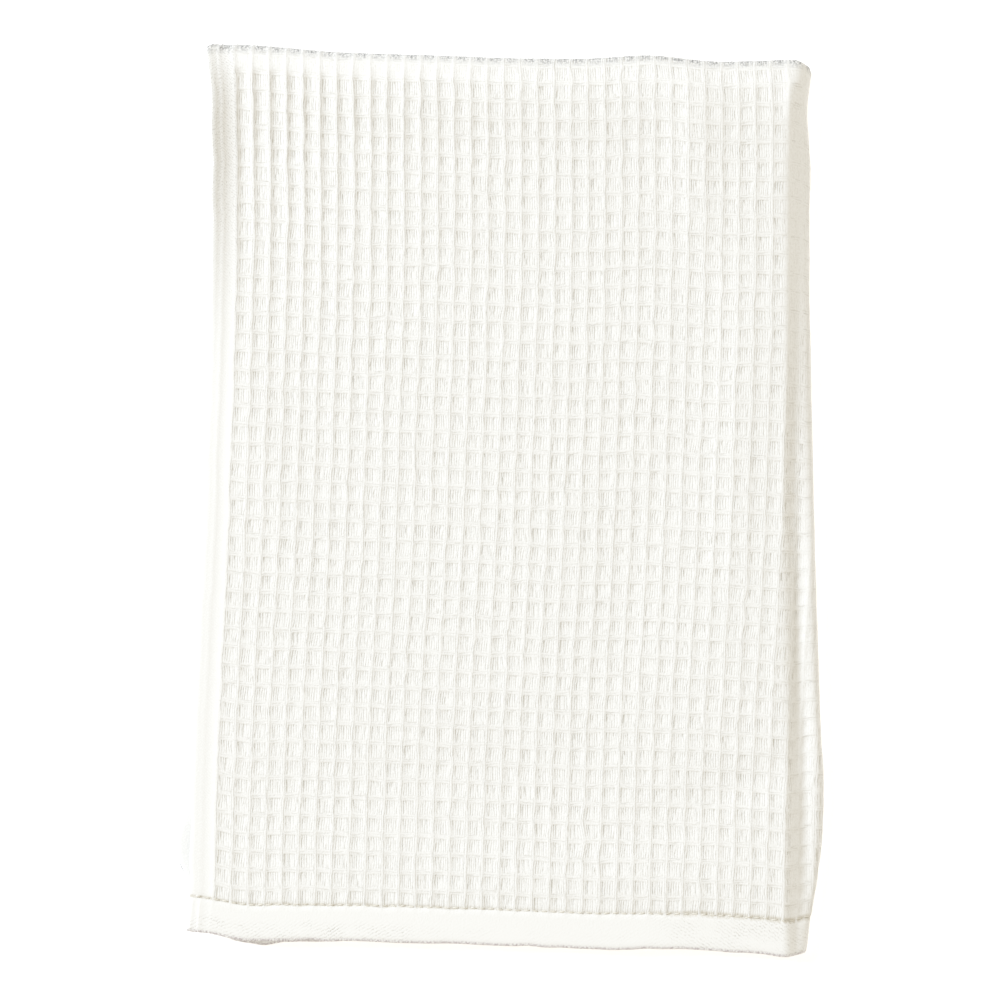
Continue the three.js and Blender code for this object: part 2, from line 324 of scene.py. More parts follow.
def fold(across, along, height):
    """Folded places of flat points: across, along and height off the middle of the cloth."""
    down = np.clip(RUN_LENGTH - along, 0, None) + np.clip(along - RUN_LENGTH - FOLD_ARC, 0, None)
    down = down * FOLDED_LENGTH / RUN_LENGTH
    angle = np.clip((along - RUN_LENGTH) / FOLD_ARC, 0, 1) * math.pi
    share = down / FOLDED_LENGTH

    outer_x, outer_z, outer_turn, lowness, _ = outer_section(across, down)
    inner_x, inner_z, inner_turn, _ = inner_section(across, down)
    start_x, start_z = outer_section(across, np.zeros_like(down))[:2]
    arm_x = (outer_x - inner_x) / 2
    arm_z = (outer_z - inner_z) / 2
    arm = np.hypot(arm_x, arm_z)
    reach = np.minimum(arm, np.sqrt(THICKNESS * arm))
    first_x, first_z = inner_section(across, np.zeros_like(down))[:2]
    first_arm = np.hypot(start_x - first_x, start_z - first_z) / 2
    start_reach = np.minimum(first_arm, np.sqrt(THICKNESS * first_arm))

    start_y = fold_y(start_x) - UNDER_FOLD_TUCK * lowness - start_reach - HALF
    outer_y = start_y + (hem_y(outer_x) - hem_peek(outer_x) * lowness - start_y) * share
    inner_y = start_y + (hem_y(inner_x) + INNER_TUCK - start_y) * share

    cos = np.cos(angle)
    sin = np.sin(angle)
    on_inner = angle >= math.pi
    x = (outer_x + inner_x) / 2 + arm_x * cos
    y = np.where(on_inner, inner_y, outer_y) + reach * sin
    z = (outer_z + inner_z) / 2 + arm_z * cos

    over_share = CREASE_SHARE["over"] * (1 + cos) / 2 + CREASE_SHARE["inner_over"] * (1 - cos) / 2
    under_share = CREASE_SHARE["under"] * (1 + cos) / 2 + CREASE_SHARE["inner_under"] * (1 - cos) / 2
    settle = np.clip(1 - CREASE_FADE * lowness, 0, 1)
    z = z + crease_height(x, y) * np.where(lowness < 0.5, over_share * settle, under_share * lowness)

    face_turn = outer_turn + (inner_turn - outer_turn) * angle / math.pi
    face_x = np.sin(face_turn) * cos / arm
    face_z = np.cos(face_turn) * cos / arm
    face_y = sin / reach
    size = np.sqrt(face_x**2 + face_y**2 + face_z**2)
    return (
        x + height * face_x / size,
        y + height * face_y / size,
        z + height * face_z / size,
    )


print(f"each run {RUN_LENGTH:.1f} mm, crosswise fold {FOLD_ARC} mm of the length")

# %% [markdown]
# ## Ribs, selvages and hems
#
# The height of the cloth's face over its middle gives the waffle: strong ribs along the cloth, lower ones
# across it, and hollow cells between. They are deepest in the corner of the selvage and the crosswise fold,
# and pressed flat on the crosswise fold and where the cloth turns down past the shoulder. The selvages are
# thin, with a cord in them and an outer edge that stands up towards the crosswise fold. Each hem is a
# smooth band, rounded at its end and pulled down in a groove by its row of stitches. Seeded tables of small
# numbers, one for each cell or its corner, make the ribs wander and the cells differ, as woven yarn does.

# %% Cells that differ
SEED = 20
CELL_DEPTH_SPREAD = 0.12
KNOT_SPREAD_ACROSS = 0.16
KNOT_SPREAD_ALONG = 0.18
CELL_SHAPE = (COLUMNS + 3, ROWS + 3)
TABLE_EDGE = 0.001

rng = np.random.default_rng(SEED)
cell_depths = rng.normal(1.0, CELL_DEPTH_SPREAD, CELL_SHAPE)
knot_across = rng.normal(0, KNOT_SPREAD_ACROSS, CELL_SHAPE)
knot_along = rng.normal(0, KNOT_SPREAD_ALONG, CELL_SHAPE)


def cell_places(across, along):
    """Place of a flat point counted in columns and rows."""
    return (across - SELVAGE) / COLUMN_PITCH, (along - HEM) / ROW_PITCH


def between_knots(values, column, row):
    """Values of the cells' corners, blended smoothly over the cells."""
    column = np.clip(column + 1, 0, values.shape[0] - 1 - TABLE_EDGE)
    row = np.clip(row + 1, 0, values.shape[1] - 1 - TABLE_EDGE)
    i = column.astype(int)
    j = row.astype(int)
    s = column - i
    t = row - j
    s = s * s * (3 - 2 * s)
    t = t * t * (3 - 2 * t)
    low = values[i, j] * (1 - s) + values[i + 1, j] * s
    high = values[i, j + 1] * (1 - s) + values[i + 1, j + 1] * s
    return low * (1 - t) + high * t


def smooth_step(value, start, end):
    t = np.clip((value - start) / (end - start), 0, 1)
    return t * t * (3 - 2 * t)


print("cells in the seeded tables:", cell_depths.size)

# %% Heights of the waffle
CELL_DEPTH = 0.56
CORNER_DEPTH = 1.15
CORNER_SIZE = 95.0
CORNER_CHANGE = 0.40
RIB_LEAN = 0.13
RIB_SHARPNESS = 1.35
RIB_HEIGHT = 0.94
CROSS_RIB_LEAN = 0.10
CROSS_RIB_SHARPNESS = 1.25
CROSS_RIB_HEIGHT = 0.86
FOLD_BAND = 0.8
FOLD_BAND_START = 5
FOLD_BAND_END = 8
FOLD_BAND_WIDENING = 5
FOLD_FLATTENING = 0.85
PAST_SHOULDER = (0, 4)
SHOULDER_FADE_DOWN = (90, 200)
PAST_TO_NOSE = (11, 14)
PAST_TO_BACK = (20, 26)


def waffle_height(across, along):
    """Height of the waffle over the cloth's middle, and how far a place is aside from a long rib."""
    column, row = cell_places(across, along)
    part = column - np.floor(column)
    aside = 1 - np.abs(2 * (part + RIB_LEAN * np.sin(math.pi * part)) - 1)
    part = row - np.floor(row)
    apart = 1 - np.abs(2 * (part - CROSS_RIB_LEAN * np.sin(math.pi * part)) - 1)
    down = np.clip(RUN_LENGTH - along, 0, None)
    corner = np.exp(-((np.hypot(across, down) / CORNER_SIZE) ** 2))
    rib = (RIB_HEIGHT + (1 - RIB_HEIGHT) * corner) * (1 - aside) ** RIB_SHARPNESS
    cross_rib = (CROSS_RIB_HEIGHT - CORNER_CHANGE * corner) * (1 - apart) ** CROSS_RIB_SHARPNESS
    ribs = (rib**4 + cross_rib**4) ** 0.25
    from_fold = np.abs(along - FLAT_LENGTH / 2)
    widening = FOLD_BAND_WIDENING * corner
    fold_band = 1 - smooth_step(from_fold, FOLD_BAND_START + widening, FOLD_BAND_END + widening)
    ribs = np.maximum(ribs, FOLD_BAND * fold_band)
    uneven = between_knots(cell_depths, column - 0.5, row - 0.5)
    depth = CELL_DEPTH * uneven * (1 + CORNER_DEPTH * corner)
    past = across - shoulder_at(down) + left_at(down)
    on_turn = smooth_step(past, *PAST_SHOULDER) * (1 - smooth_step(down, *SHOULDER_FADE_DOWN))
    on_turn = np.maximum(on_turn, smooth_step(past, *PAST_TO_NOSE)) * (1 - smooth_step(past, *PAST_TO_BACK))
    return HALF - depth * np.clip(1 - ribs, 0, 1) * (1 - FOLD_FLATTENING * on_turn), aside


# %% Heights of the face and the back
SELVAGE_TOP = 0.40
SELVAGE_EDGE = 0.7
SELVAGE_EDGE_WIDTH = 3.8
SELVAGE_EDGE_START = 0.6 * RUN_LENGTH
SELVAGE_EDGE_END = 0.9 * RUN_LENGTH
SELVAGE_STEP = 2.6
SELVAGE_BACK_STEP = 4.0
CORD_PLACE = 4.3
CORD_WIDTH = 0.5
CORD_HEIGHT = 0.35
CORD_LEAST = 0.2
HEM_TOP = 0.70
HEM_STEP = 1.6
HEM_END_SEAMS = [3.5, 6.8]
HEM_END_SEAM_WIDTH = 0.4
HEM_END_SEAM_DEPTH = 0.3
GROOVE_PLACE = 0.4
GROOVE_WIDTH = 0.6
GROOVE_DEPTH = 0.6
GROOVE_ON_RIBS = 0.3
GROOVE_IN_CELLS = 0.7
RIB_SIDE = (0.1, 0.35)
EDGE_ROUND = 1.2
EDGE_LEAST = 0.02


def ridge(place, middle, width):
    """A soft ridge of height 1 with a middle and half a width."""
    return np.exp(-(((place - middle) / width) ** 2))


def face_height(across, along):
    """Height of the cloth's face over its middle."""
    waffle, aside = waffle_height(across, along)
    from_side = np.minimum(across, FLAT_WIDTH - across)
    from_end = np.minimum(along, FLAT_LENGTH - along)
    cord_height = CORD_HEIGHT * np.clip(along / RUN_LENGTH, CORD_LEAST, 1)
    edge_height = SELVAGE_EDGE * smooth_step(along, SELVAGE_EDGE_START, SELVAGE_EDGE_END)
    selvage = SELVAGE_TOP + edge_height * np.clip(1 - from_side / SELVAGE_EDGE_WIDTH, 0, 1)
    selvage = selvage + cord_height * ridge(from_side, CORD_PLACE, CORD_WIDTH)
    height = selvage + (waffle - selvage) * smooth_step(from_side, SELVAGE - SELVAGE_STEP, SELVAGE)
    end_seams = sum(ridge(from_side, place, HEM_END_SEAM_WIDTH) for place in HEM_END_SEAMS)
    hem = HEM_TOP - HEM_END_SEAM_DEPTH * end_seams
    height = hem + (height - hem) * smooth_step(from_end, HEM, HEM + HEM_STEP)
    groove_share = GROOVE_ON_RIBS + GROOVE_IN_CELLS * smooth_step(aside, *RIB_SIDE)
    height = height - GROOVE_DEPTH * ridge(from_end, HEM + GROOVE_PLACE, GROOVE_WIDTH) * groove_share
    edge = np.minimum(from_side, from_end)
    return height * np.sqrt(np.clip(edge / EDGE_ROUND, EDGE_LEAST, 1))


def back_height(across, along):
    """Depth of the cloth's back under its middle: even, and rounded at the edges."""
    from_side = np.minimum(across, FLAT_WIDTH - across)
    from_end = np.minimum(along, FLAT_LENGTH - along)
    inside = smooth_step(from_side, SELVAGE - SELVAGE_BACK_STEP, SELVAGE)
    level = SELVAGE_TOP + (HALF - SELVAGE_TOP) * inside
    edge = np.minimum(from_side, from_end)
    return -level * np.sqrt(np.clip(edge / EDGE_ROUND, EDGE_LEAST, 1))


print(f"cells {CELL_DEPTH} mm deep, {CELL_DEPTH * (1 + CORNER_DEPTH):.1f} mm in the corner")

# %% [markdown]
# ## The sheet
#
# The mesh starts as a coarse grid with one square for each cell and a few lines more in the hems, selvages
# and crosswise fold. Solidify gives it a back and a rim. Only the face of the outer layers shows, so only
# there each column and row is cut finer, which keeps the triangles for the ribs that one sees.

# %% Lines of the coarse grid
SELVAGE_LINES = [0, 0.6, 2.0, 3.5, 4.2, 4.9, 6.8, 9.0]
HEM_LINES = [0, 0.7, 2.4, 7.0, 11.5, 13.2]
GROOVE_LINES = [14.5, 15.3]
FOLD_SHARES = [0.0, 0.25, 0.5, 0.75, 1.0]
FOLD_MARGIN = 1.0

rib_lines = [SELVAGE + COLUMN_PITCH * k for k in range(COLUMNS + 1)]
last_selvage = [FLAT_WIDTH - line for line in reversed(SELVAGE_LINES)]
across_lines = SELVAGE_LINES + rib_lines + last_selvage
row_lines = [HEM + ROW_PITCH * k for k in range(ROWS + 1)]
fold_lines = [RUN_LENGTH + FOLD_ARC * share for share in FOLD_SHARES]
row_lines = [line for line in row_lines if abs(line - FLAT_LENGTH / 2) > FOLD_ARC / 2 + FOLD_MARGIN]
last_hem = [FLAT_LENGTH - line for line in reversed(HEM_LINES)]
along_lines = HEM_LINES + sorted(row_lines + GROOVE_LINES + fold_lines) + last_hem
print(len(across_lines), "lines across,", len(along_lines), "lines along")

# %% Coarse sheet with a back and a rim
sheet = bmesh.new()
bmesh.ops.create_grid(sheet, x_segments=len(across_lines) - 1, y_segments=len(along_lines) - 1, size=0.5)
for vert in sheet.verts:
    column = round((vert.co.x + 0.5) * (len(across_lines) - 1))
    row = round((vert.co.y + 0.5) * (len(along_lines) - 1))
    vert.co = Vector((across_lines[column], along_lines[row], 0))
bmesh.ops.recalc_face_normals(sheet, faces=sheet.faces)
if sheet.faces[:][0].normal.z < 0:
    bmesh.ops.reverse_faces(sheet, faces=sheet.faces)
bmesh.ops.solidify(sheet, geom=sheet.faces[:], thickness=THICKNESS)
levels = sorted({round(vert.co.z, 3) for vert in sheet.verts})
bmesh.ops.translate(sheet, verts=sheet.verts, vec=(0, 0, -sum(levels) / 2))
print("coarse sheet:", len(sheet.faces), "faces at heights", levels)

# %% Cut the face finer
FINE_COLUMNS = 38
FINE_ACROSS = SELVAGE + FINE_COLUMNS * COLUMN_PITCH
FINE_END = RUN_LENGTH + FOLD_ARC
ACROSS = 0
ALONG = 1
LONG_ACROSS = 5.0
LONG_ALONG = 3.5
FINE_CUTS = 5
FAR_CUTS = 2
ROW_CUTS = 4
NEAR = 0.01


def face_edges(direction, longer_than, start, end):
    """Edges of the face that run one way in the outer layers, between two places across."""
    found = []
    for edge in sheet.edges:
        first, last = (vert.co for vert in edge.verts)
        middle = (first + last) / 2
        if min(first.z, last.z) < HALF / 2 or middle.y > FINE_END + NEAR:
            continue
        span = abs(last[direction] - first[direction])
        if span > longer_than and abs(last[1 - direction] - first[1 - direction]) < NEAR:
            if start < middle.x < end:
                found.append(edge)
    return found


near_edges = face_edges(ACROSS, LONG_ACROSS, 0, FINE_ACROSS)
bmesh.ops.subdivide_edges(sheet, edges=near_edges, cuts=FINE_CUTS, use_grid_fill=True)
far_edges = face_edges(ACROSS, LONG_ACROSS, FINE_ACROSS, FLAT_WIDTH)
bmesh.ops.subdivide_edges(sheet, edges=far_edges, cuts=FAR_CUTS, use_grid_fill=True)
row_edges = face_edges(ALONG, LONG_ALONG, -NEAR, FLAT_WIDTH + NEAR)
bmesh.ops.subdivide_edges(sheet, edges=row_edges, cuts=ROW_CUTS, use_grid_fill=True)
print("cut sheet:", len(sheet.verts), "points,", len(sheet.faces), "faces")

# %% [markdown]
# ## From flat to folded
#
# The fine lines are drawn towards the ribs, where the shape turns most. The flat places are kept as the UV
# map, so that the weave of the finish follows the cloth, and then all points are folded at once.

# %% Draw lines to the ribs, keep the flat places, fold
COLUMN_SQUEEZE = 0.6
ROW_SQUEEZE = 0.3


def to_ribs(places, first, pitch, count, squeeze):
    """Places drawn towards the nearest rib, inside the waffle."""
    cells = (places - first) / pitch
    inside = (cells > 0) & (cells < count)
    drawn = cells - squeeze * np.sin(2 * math.pi * cells) / (2 * math.pi)
    return np.where(inside, first + pitch * drawn, places)


flat = np.array([vert.co for vert in sheet.verts])
on_face = flat[:, 2] > 0
outer_rows = flat[:, 1] < RUN_LENGTH - FOLD_MARGIN
drawn_columns = to_ribs(flat[:, 0], SELVAGE, COLUMN_PITCH, COLUMNS, COLUMN_SQUEEZE)
across = np.where(on_face, drawn_columns, flat[:, 0])
drawn_rows = to_ribs(flat[:, 1], HEM, ROW_PITCH, ROWS, ROW_SQUEEZE)
along = np.where(on_face & outer_rows, drawn_rows, flat[:, 1])
height = np.where(on_face, face_height(across, along), back_height(across, along))

uv_layer = sheet.loops.layers.uv.new("flat")
sheet.verts.index_update()
for face in sheet.faces:
    face.smooth = True
    for loop in face.loops:
        k = loop.vert.index
        loop[uv_layer].uv = (across[k] * MM, along[k] * MM)

column, row = cell_places(across, along)
wander_across = between_knots(knot_across, column, row)
wander_along = between_knots(knot_along, column, row)
x, y, z = fold(across + wander_across, along + wander_along, height)
for vert, place in zip(sheet.verts, zip(x, y, z)):
    vert.co = place

middle_x = (x.min() + x.max()) / 2
middle_y = (y.min() + y.max()) / 2
shift = (-middle_x, -middle_y, max(0.0, -z.min()))
bmesh.ops.translate(sheet, verts=sheet.verts, vec=shift)
bmesh.ops.scale(sheet, verts=sheet.verts, vec=(MM, MM, MM))
print("folded box, mm:", [round(float(np.ptp(side)), 1) for side in (x, y, z)], "lowest", round(z.min(), 2))

# %% Make the towel


def as_object(shape, name):
    """A finished bmesh as an object of the scene."""
    mesh = bpy.data.meshes.new(name)
    shape.to_mesh(mesh)
    shape.free()
    made = bpy.data.objects.new(name, mesh)
    bpy.context.scene.collection.objects.link(made)
    mesh.calc_loop_triangles()
    print(name + ":", len(mesh.loop_triangles), "triangles")
    return made


towel = as_object(sheet, "waffle_towel")

# %% [markdown]
# ## Hem stitches
#
# Each hem is sewn down by one row of straight machine stitches, which sit in the groove at its top. Every
# stitch is a small long bead of thread, laid out on the flat cloth and folded with it, so the row runs over
# the lengthwise fold and on underneath.

# %% Rows of stitches
STITCH_PITCH = 3.5
STITCH_LENGTH = 2.7
STITCH_WIDTH = 0.62
STITCH_HEIGHT = 0.5
STITCH_SLANT = 9.0
STITCH_MARGIN = 2.0
STITCH_WANDER = 0.06
STITCH_RISE = 0.25
STITCH_DEPTH = 0.35

stitches = bmesh.new()
stitch_count = int((FLAT_WIDTH - 2 * STITCH_MARGIN) / STITCH_PITCH)
stitch_size = Matrix.Diagonal((STITCH_LENGTH / 2, STITCH_WIDTH / 2, STITCH_HEIGHT / 2, 1))
for seam in (HEM + GROOVE_PLACE, FLAT_LENGTH - HEM - GROOVE_PLACE):
    for k in range(stitch_count):
        place = Vector((STITCH_MARGIN + STITCH_PITCH * (k + 0.5), seam + rng.normal(0, STITCH_WANDER), 0))
        slant = Matrix.Rotation(math.radians(rng.normal(0, STITCH_SLANT)), 4, "Z")
        laid = Matrix.Translation(place) @ slant @ stitch_size
        bmesh.ops.create_uvsphere(stitches, u_segments=6, v_segments=5, radius=1, matrix=laid)
flat_stitches = np.array([vert.co for vert in stitches.verts])
seam_height = face_height(flat_stitches[:, 0], np.full(len(flat_stitches), HEM + GROOVE_PLACE))
sunk_height = np.minimum(seam_height + STITCH_RISE, HALF - STITCH_DEPTH)
folded = fold(flat_stitches[:, 0], flat_stitches[:, 1], sunk_height + flat_stitches[:, 2])
for vert, place in zip(stitches.verts, zip(*folded)):
    vert.co = place
for face in stitches.faces:
    face.smooth = True
bmesh.ops.translate(stitches, verts=stitches.verts, vec=shift)
bmesh.ops.scale(stitches, verts=stitches.verts, vec=(MM, MM, MM))
hem_stitches = as_object(stitches, "hem_stitches")
print("stitches:", 2 * stitch_count)

# %% [markdown]
# ## Shader maths
#
# A finish is a small network of nodes. To write its sums as sums, one class wraps a node's output and turns
# each operator into a Math node. Another makes a material and adds any other node by its type.

# %% Helpers for finishes


class Signal:
    """A number that varies over a surface: an output of a node, with operators that add Math nodes."""

    def __init__(self, finish, socket):
        self.finish = finish
        self.socket = socket

    def math(self, operation, *others):
        node = self.finish.node("ShaderNodeMath", dict(operation=operation), self, *others)
        return Signal(self.finish, node.outputs[0])

    def __add__(self, other):
        return self.math("ADD", other)

    __radd__ = __add__

    def __sub__(self, other):
        return self.math("SUBTRACT", other)

    def __rsub__(self, other):
        return (self * -1) + other

    def __mul__(self, other):
        return self.math("MULTIPLY", other)

    __rmul__ = __mul__

    def __truediv__(self, other):
        return self.math("DIVIDE", other)

    def __abs__(self):
        return self.math("ABSOLUTE")

    def __lt__(self, other):
        return self.math("LESS_THAN", other)

    def nearest(self):
        return self.math("ROUND")

    def larger(self, other):
        return self.math("MAXIMUM", other)

    def smaller(self, other):
        return self.math("MINIMUM", other)

    def ramp(self, start, end):
        """0 before start, 1 after end, smooth between."""
        settings = dict(interpolation_type="SMOOTHSTEP")
        node = self.finish.node("ShaderNodeMapRange", settings, self, start, end)
        return Signal(self.finish, node.outputs[0])


class Finish:
    """A material and a short way to add nodes to it."""

    def __init__(self, name):
        self.material = bpy.data.materials.new(name)
        self.material.use_nodes = True
        self.tree = self.material.node_tree
        self.surface = self.tree.nodes["Principled BSDF"]

    def node(self, kind, settings=None, *inputs, **named):
        """A node of that type, with its settings, and values or links for its sockets."""
        made = self.tree.nodes.new(kind)
        for key, value in (settings or {}).items():
            setattr(made, key, value)
        for key, value in [*enumerate(inputs), *named.items()]:
            self.put(made.inputs[key], value)
        return made

    def put(self, socket, value):
        """Sets a socket to a value, or links it."""
        if isinstance(value, Signal):
            self.tree.links.new(value.socket, socket)
        elif isinstance(value, bpy.types.NodeSocket):
            self.tree.links.new(value, socket)
        else:
            socket.default_value = value

    def signal(self, node, output=0):
        return Signal(self, node.outputs[output])

    def mix(self, share, colour, other):
        """Two colours blended by a share that is held between 0 and 1."""
        made = self.node("ShaderNodeMix", dict(data_type="RGBA", clamp_factor=True))
        sockets = {socket.identifier: socket for socket in [*made.inputs, *made.outputs]}
        self.put(sockets["Factor_Float"], share)
        self.put(sockets["A_Color"], colour)
        self.put(sockets["B_Color"], other)
        return sockets["Result_Color"]


# %% [markdown]
# ## Woven cotton
#
# The finish draws single yarns, seven ends and seven picks to a cell, finer than the mesh can carry. Ends
# run along the cloth and picks across it. On the long ribs and in the cells the ends lie on top, and on the
# cross ribs the picks do. Slow noise, stretched along each yarn, makes it thick and thin. The yarns' height
# goes to a Bump node, and the gaps between them are painted darker and warmer as painted shade, most in
# the upper part of each hollow, beside each long rib on its side away from the lamp, and in a thin line
# under each cross rib.

# %% Flat map, noise and yarns
FUZZ_SCALE = (1300, 1100)
END_SLUB_SCALE = (900, 150)
PICK_SLUB_SCALE = (150, 900)
WEAR_SCALE = (90, 130)

cotton = Finish("waffle_cotton")
flat_map = cotton.node("ShaderNodeUVMap", dict(uv_map="flat"))
parts = cotton.node("ShaderNodeSeparateXYZ", None, flat_map.outputs[0])
u = cotton.signal(parts, 0)
v = cotton.signal(parts, 1)


def flat_noise(finish, places, scale):
    """Noise from -0.5 to 0.5 over two coordinates, with its own scale for each."""
    stretched = finish.node("ShaderNodeMapping", None, places, Scale=(*scale, 1)).outputs[0]
    flat_only = dict(noise_dimensions="2D")
    noise = finish.node("ShaderNodeTexNoise", flat_only, stretched, Scale=1.0, Detail=3.0)
    return finish.signal(noise) - 0.5


def yarn_row(place, gaps):
    """Round yarns side by side, with narrow gaps of a given depth between them."""
    gap = (1 - (place * (2 * math.pi)).math("COSINE")) * 0.5
    return 1 - gap * gap * gaps


fuzz = flat_noise(cotton, flat_map.outputs[0], FUZZ_SCALE)
end_slub = flat_noise(cotton, flat_map.outputs[0], END_SLUB_SCALE)
pick_slub = flat_noise(cotton, flat_map.outputs[0], PICK_SLUB_SCALE)
wear = flat_noise(cotton, flat_map.outputs[0], WEAR_SCALE)

# %% [markdown]
# ## Smoother parts of the waffle
#
# Where the cloth is stretched round a fold its yarns close up, and the weave looks smooth, with less
# painted shade between its yarns: in a strip past the shoulder of the lengthwise fold, wider in its upper
# half, and in a band at the crosswise fold, near the selvage. Two masks on the flat map say where. Places
# on this map are in metres.

# %% Masks of the smoother parts
STRIP_SECTION = SECTIONS[3]
STRIP_START = (STRIP_SECTION["shoulder"] - STRIP_SECTION["left"]) * MM
STRIP_END = STRIP_START + 0.018
STRIP_EDGE = (STRIP_START, STRIP_START + 0.002)
STRIP_ALONG = (0.20, 0.27)
NOSE_EDGE = (STRIP_START + 0.011, STRIP_START + 0.013)
STRIP_FADE = (STRIP_END, STRIP_END + 0.006)
BAND_EDGE = (RUN_LENGTH * MM - 0.009, RUN_LENGTH * MM - 0.007)
BAND_FADE = (0.07, 0.15)

fold_strip = u.ramp(*STRIP_EDGE) * v.ramp(*STRIP_ALONG)
fold_strip = fold_strip.larger(u.ramp(*NOSE_EDGE))
fold_strip = fold_strip * (1 - u.ramp(*STRIP_FADE))
top_band = v.ramp(*BAND_EDGE) * (1 - u.ramp(*BAND_FADE))
smooth_part = fold_strip.larger(top_band)
print(f"smooth strip: {STRIP_START / MM:.0f} to {STRIP_END / MM:.0f} mm across")

# %% Yarns of the waffle
YARNS = 7
PICK_PLACE = 0.08
GAP_PLACE = 0.24
CLOSED_UP = 0.7
END_GAP = 0.50
HOLLOW_GAP_AND_SHADE = 0.14
RIB_SIDE_GAP_AND_SHADE = 0.18
PICK_GAP = 0.34
ROW_GAP_AND_SHADE = 0.4
END_WANDER = 1.8
END_UNEVEN = 3.2
PICK_WANDER = 2.0
PICK_UNEVEN = 1.8
ROW_UNEVEN = 3.0
ROW_GAP_DEPTH = 0.4

column = (u - SELVAGE * MM) / (COLUMN_PITCH * MM)
row = (v - HEM * MM) / (ROW_PITCH * MM)
aside = abs(column - column.nearest())
from_pick = row + PICK_PLACE
from_pick = abs(from_pick - from_pick.nearest())
up_cell = (row + GAP_PLACE).math("FRACT")
from_gap = up_cell.smaller(1 - up_cell)
part = column.math("FRACT")
# Painted shade: the gaps between the ends are deeper, and so darker, in the upper part of each hollow and
# on the side of each long rib away from the lamp.
hollow = up_cell.ramp(0.40, 0.95) * part.ramp(0.02, 0.14) * (1 - part.ramp(0.45, 0.85))
rib_side = part.ramp(0.03, 0.10) * (1 - part.ramp(0.24, 0.36)) * up_cell.ramp(0.10, 0.50)
# In the smoother parts the gaps between the yarns, and their painted shade, are mostly left out.
open_share = 1 - CLOSED_UP * smooth_part
end_gaps = (END_GAP + HOLLOW_GAP_AND_SHADE * hollow + RIB_SIDE_GAP_AND_SHADE * rib_side) * open_share
ends = yarn_row(column * YARNS + end_slub * END_WANDER, end_gaps * (1 + end_slub * END_UNEVEN))
picks = yarn_row(row * YARNS + pick_slub * PICK_WANDER, PICK_GAP + pick_slub * PICK_UNEVEN)
picks_on_top = (1 - from_pick.ramp(0.08, 0.20)) * aside.ramp(0.06, 0.16)
# A thin dark line under each cross rib: partly the gap between the picks, partly painted shade.
row_gap_and_shade = (1 - from_gap.ramp(0.01, 0.07)) * aside.ramp(0.10, 0.22) * (ROW_GAP_AND_SHADE + pick_slub * ROW_UNEVEN)
weave = ends * (1 - picks_on_top) + picks * picks_on_top - ROW_GAP_DEPTH * row_gap_and_shade * open_share

# %% [markdown]
# ## Hems, selvages and painted shade
#
# The hems are twill, with fine slanting ribs that are faint in the middle and deeper towards the hem's end
# and both its sides; towards the hem's end and the lengthwise fold these deeper, darker gaps are partly
# painted shade. The selvages are herringbone: two slants that meet in a line. Where stitches pull the cloth
# down, the waffle's first hollows are painted dark, and so are the hem's folded edge and the gaps between
# the ribs on the crosswise fold: all painted shade.

# %% Twill of the hems
TWILL_PITCH = 0.0013
TWILL_MEET = 0.19
TWILL_SLANT = 0.55
TWILL_STRETCH = 0.9
TWILL_WANDER = 1.2
TWILL_GAP = 0.6
TWILL_FUZZ = 4.0
TWILL_END = (0.005, 0.010)
TWILL_DEEP_SIDE = (0.05, 0.13)
TWILL_FOLD_SHADE = (0.16, 0.21)
HEM_LEVEL = 1.12

from_end = v.smaller(FLAT_LENGTH * MM - v)
in_hem = from_end < HEM * MM
twill_place = (v * TWILL_STRETCH + abs(u - TWILL_MEET) * TWILL_SLANT) / TWILL_PITCH
twill_lines = yarn_row(twill_place + end_slub * TWILL_WANDER, TWILL_GAP + fuzz * TWILL_FUZZ)
# The twill is deeper near the selvage, at the hem's outer end and towards the lengthwise fold; at the end
# and towards the fold its darker gaps are partly painted shade.
twill_deep_side = 1 - u.ramp(*TWILL_DEEP_SIDE)
twill_depth_and_shade = (1 - from_end.ramp(*TWILL_END)) * (0.35 + 0.75 * twill_deep_side)
twill_depth_and_shade = twill_depth_and_shade.larger(u.ramp(*TWILL_FOLD_SHADE)) * (0.7 + wear * 2.0)
hem_height = HEM_LEVEL - (1 - twill_lines) * (0.10 + 0.7 * twill_depth_and_shade)

# %% Herringbone of the selvages, with painted shade on them
BONE_PITCH = 0.0012
BONE_MEET = 0.0042
BONE_SLANT = 0.8
BONE_WANDER = 1.6
BONE_GAP = 0.5
BONE_FUZZ = 4.0
BONE_ALONG = (0.22, 0.32)
STRIPE_EDGE = (0.0032, 0.0040)
STRIPE_ALONG = (0.22, 0.30)
STRIPE_DEPTH_AND_SHADE = 0.30
SELVAGE_LEVEL = 0.97
FUZZ_HEIGHT = 0.8

from_side = u.smaller(FLAT_WIDTH * MM - u)
in_selvage = from_side < SELVAGE * MM
bone_place = (abs(u - BONE_MEET) * BONE_SLANT + v) / BONE_PITCH
bone_lines = yarn_row(bone_place + (end_slub + fuzz) * BONE_WANDER, BONE_GAP + fuzz * BONE_FUZZ)
# The herringbone deepens towards the crosswise fold, partly as painted shade.
bone_share_and_shade = 0.25 + 0.5 * v.ramp(*BONE_ALONG)
# Painted shade: the outer stripe of the selvage is lowered, and so painted darker, towards the crosswise
# fold.
shaded_edge_stripe = (1 - from_side.ramp(*STRIPE_EDGE)) * v.ramp(*STRIPE_ALONG)
selvage_height = SELVAGE_LEVEL - (1 - bone_lines) * bone_share_and_shade - STRIPE_DEPTH_AND_SHADE * shaded_edge_stripe
yarn_height = weave * (1 - in_selvage) + selvage_height * in_selvage
yarn_height = yarn_height * (1 - in_hem) + hem_height * in_hem
yarn_height = yarn_height + fuzz * FUZZ_HEIGHT

